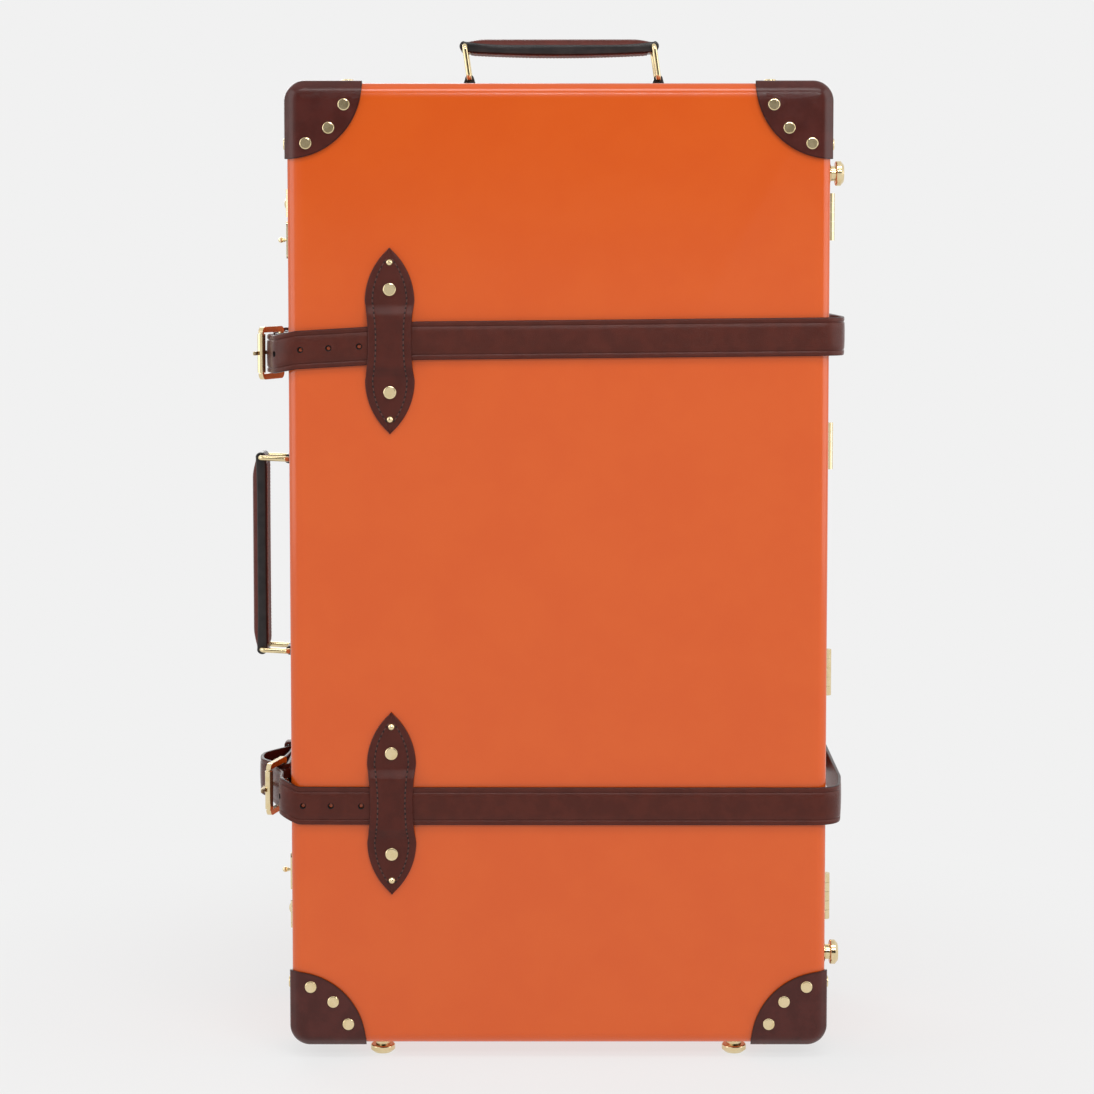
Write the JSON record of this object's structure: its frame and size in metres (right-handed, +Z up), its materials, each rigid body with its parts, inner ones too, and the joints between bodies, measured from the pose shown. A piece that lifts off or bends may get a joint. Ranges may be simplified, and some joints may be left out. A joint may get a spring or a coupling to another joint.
{
  "type": "suitcase",
  "caption": "Upright hard suitcase with leather corners, buckled straps, hinged lid, snap locks, brass feet and two swinging carry handles.",
  "frame": {"origin": "centre of the overall box on the floor under the four bottom feet", "axes": "+Z up, the lid faces -Y, hinges on +X, locks and buckles on -X"},
  "size_m": [0.485, 0.2532, 0.8144],
  "materials": {
    "fibre": "vulcanised fibre board, coated, satin with a fine linen-like grain",
    "lining": "woven cotton lining",
    "webbing": "woven webbing",
    "rim_wood": "varnished ash",
    "steel_plate": "plain rolled",
    "corner_leather": "moulded leather, semi-gloss",
    "strap_leather": "grained bridle leather with a creased edge line",
    "grip_leather": "stitched leather with dark burnished sides",
    "brass": "polished pale brass",
    "rivet_brass": "polished pale brass"
  },
  "bodies": {
    "tray": {"tray_shell": "fibre", "tray_lining": "lining", "tray_rim": "rim_wood", "packing_straps": "webbing", "handle_backing_plates": "steel_plate", "tray_corner_top_left": "corner_leather", "tray_corner_top_right": "corner_leather", "tray_corner_bottom_left": "corner_leather", "tray_corner_bottom_right": "corner_leather", "tray_corner_rivets": "rivet_brass", "tray_feet": "brass", "tray_hinge_leaves": "brass", "hinge_pins": "brass", "upper_lock_box": "brass", "lower_lock_box": "brass", "top_handle_brackets": "brass", "side_handle_brackets": "brass", "upper_strap_back": "strap_leather", "lower_strap_back": "strap_leather", "upper_strap_side": "strap_leather", "lower_strap_side": "strap_leather", "upper_buckle_frame": "brass", "lower_buckle_frame": "brass", "upper_keeper": "strap_leather", "lower_keeper": "strap_leather", "upper_back_loop": "strap_leather", "lower_back_loop": "strap_leather", "back_loop_rivets": "rivet_brass"},
    "lid": {"lid_shell": "fibre", "lid_lining": "lining", "lid_corner_top_left": "corner_leather", "lid_corner_top_right": "corner_leather", "lid_corner_bottom_left": "corner_leather", "lid_corner_bottom_right": "corner_leather", "lid_corner_rivets": "rivet_brass", "lid_feet": "brass", "lid_hinge_leaves": "brass", "upper_hasp_plate": "brass", "lower_hasp_plate": "brass", "upper_strap_front": "strap_leather", "lower_strap_front": "strap_leather", "upper_strap_end": "strap_leather", "lower_strap_end": "strap_leather", "upper_loop": "strap_leather", "lower_loop": "strap_leather", "loop_rivets": "rivet_brass"},
    "upper_hasp": {"upper_hasp": "brass"},
    "lower_hasp": {"lower_hasp": "brass"},
    "upper_lock_slide": {"upper_lock_slide": "brass"},
    "lower_lock_slide": {"lower_lock_slide": "brass"},
    "top_link_left": {"top_link_left": "brass"},
    "top_link_right": {"top_link_right": "brass"},
    "top_grip": {"top_grip": "grip_leather"},
    "side_link_upper": {"side_link_upper": "brass"},
    "side_link_lower": {"side_link_lower": "brass"},
    "side_grip": {"side_grip": "grip_leather"},
    "upper_tongue": {"upper_tongue": "brass"},
    "lower_tongue": {"lower_tongue": "brass"},
    "upper_roller": {"upper_roller": "brass"},
    "lower_roller": {"lower_roller": "brass"}
  },
  "joints": [
    {"name": "lid_open", "type": "hinge", "parent": "tray", "child": "lid", "pos_m": [0.22893, -0.045, 0.3916], "axis": [0, 0, 1], "range_deg": [0, 100], "deforming": ["upper_strap_side", "lower_strap_side", "upper_strap_end", "lower_strap_end"]},
    {"name": "upper_hasp_lift", "type": "hinge", "parent": "lid", "child": "upper_hasp", "pos_m": [-0.20557, -0.065, 0.6796], "axis": [0, 0, 1], "range_deg": [0, 110]},
    {"name": "upper_lock_push", "type": "slide", "parent": "tray", "child": "upper_lock_slide", "axis": [0, 0, -1], "range_m": [0, 0.006], "stiffness_N_per_m": 150, "springref_m": -0.002},
    {"name": "lower_hasp_lift", "type": "hinge", "parent": "lid", "child": "lower_hasp", "pos_m": [-0.20557, -0.065, 0.1036], "axis": [0, 0, 1], "range_deg": [0, 110]},
    {"name": "lower_lock_push", "type": "slide", "parent": "tray", "child": "lower_lock_slide", "axis": [0, 0, 1], "range_m": [0, 0.006], "stiffness_N_per_m": 150, "springref_m": -0.002},
    {"name": "top_handle_swing", "type": "hinge", "parent": "tray", "child": "top_link_left", "pos_m": [-0.06247, 0, 0.7816], "axis": [0, 1, 0], "range_deg": [-51, 68]},
    {"name": "top_grip_turn", "type": "hinge", "parent": "top_link_left", "child": "top_grip", "pos_m": [-0.06632, 0, 0.80832], "axis": [0, 1, 0], "range_deg": [-68, 51]},
    {"name": "top_link_right_swing", "type": "hinge", "parent": "tray", "child": "top_link_right", "pos_m": [0.09153, 0, 0.7816], "axis": [0, 1, 0], "range_deg": [-51, 68]},
    {"name": "side_handle_swing", "type": "hinge", "parent": "tray", "child": "side_link_upper", "pos_m": [-0.21207, 0, 0.4711], "axis": [0, 1, 0], "range_deg": [-58, 52]},
    {"name": "side_grip_turn", "type": "hinge", "parent": "side_link_upper", "child": "side_grip", "pos_m": [-0.23503, 0, 0.4723], "axis": [0, 1, 0], "range_deg": [-52, 58]},
    {"name": "side_link_lower_swing", "type": "hinge", "parent": "tray", "child": "side_link_lower", "pos_m": [-0.21207, 0, 0.3121], "axis": [0, 1, 0], "range_deg": [-58, 52]},
    {"name": "upper_tongue_lift", "type": "hinge", "parent": "tray", "child": "upper_tongue", "pos_m": [-0.21407, -0.048, 0.5604], "axis": [0, 0, -1], "range_deg": [0, 30]},
    {"name": "upper_roller_spin", "type": "hinge", "parent": "tray", "child": "upper_roller", "pos_m": [-0.22607, -0.085, 0.5604], "axis": [0, 0, 1], "continuous": true},
    {"name": "lower_tongue_lift", "type": "hinge", "parent": "tray", "child": "lower_tongue", "pos_m": [-0.21407, -0.048, 0.2096], "axis": [0, 0, -1], "range_deg": [0, 30]},
    {"name": "lower_roller_spin", "type": "hinge", "parent": "tray", "child": "lower_roller", "pos_m": [-0.22257, -0.085, 0.2096], "axis": [0, 0, 1], "continuous": true}
  ],
  "couplings": [
    {"joint": "top_grip_turn", "follows": "top_handle_swing", "ratio": -1},
    {"joint": "top_link_right_swing", "follows": "top_handle_swing", "ratio": 1},
    {"joint": "side_grip_turn", "follows": "side_handle_swing", "ratio": -1},
    {"joint": "side_link_lower_swing", "follows": "side_handle_swing", "ratio": 1}
  ]
}
